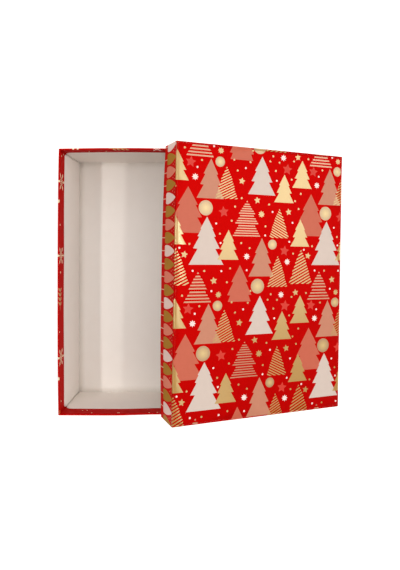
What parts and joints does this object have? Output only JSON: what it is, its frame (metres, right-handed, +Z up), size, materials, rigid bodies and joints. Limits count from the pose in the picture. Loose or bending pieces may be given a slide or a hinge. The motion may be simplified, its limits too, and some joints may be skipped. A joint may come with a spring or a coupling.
{
  "type": "gift box with lid",
  "caption": "Rectangular rigid gift box of papered greyboard, open base with its lift-off lid leaning across it, printed red outside and lined white.",
  "frame": {"origin": "middle of the underside that the base stands on", "axes": "+X across the width towards the side that the lid leans down to, +Y along the length, +Z up out of the base's mouth"},
  "size_m": [0.3774, 0.3505, 0.1361],
  "materials": {
    "greyboard": "matte",
    "stay_paper": "matte",
    "base_print_paper": "satin",
    "underside_paper": "matte",
    "lid_print_paper": "satin",
    "lining_paper": "matte"
  },
  "bodies": {
    "base": {"base_left_wall_board": "greyboard", "base_right_wall_board": "greyboard", "base_front_wall_board": "greyboard", "base_back_wall_board": "greyboard", "base_bottom_board": "greyboard", "base_front_left_corner_stay": "stay_paper", "base_front_right_corner_stay": "stay_paper", "base_back_left_corner_stay": "stay_paper", "base_back_right_corner_stay": "stay_paper", "base_wrap": "base_print_paper", "base_underside_sheet": "underside_paper", "base_lining": "lining_paper"},
    "lid": {"lid_left_skirt_board": "greyboard", "lid_right_skirt_board": "greyboard", "lid_front_skirt_board": "greyboard", "lid_back_skirt_board": "greyboard", "lid_top_board": "greyboard", "lid_front_left_corner_stay": "stay_paper", "lid_front_right_corner_stay": "stay_paper", "lid_back_left_corner_stay": "stay_paper", "lid_back_right_corner_stay": "stay_paper", "lid_wrap": "lid_print_paper", "lid_lining": "lining_paper"}
  },
  "joints": [
    {"name": "lid_lift", "type": "slide", "parent": "base", "child": "lid", "axis": [0, 0, 1], "range_m": [0, 0.2]}
  ]
}
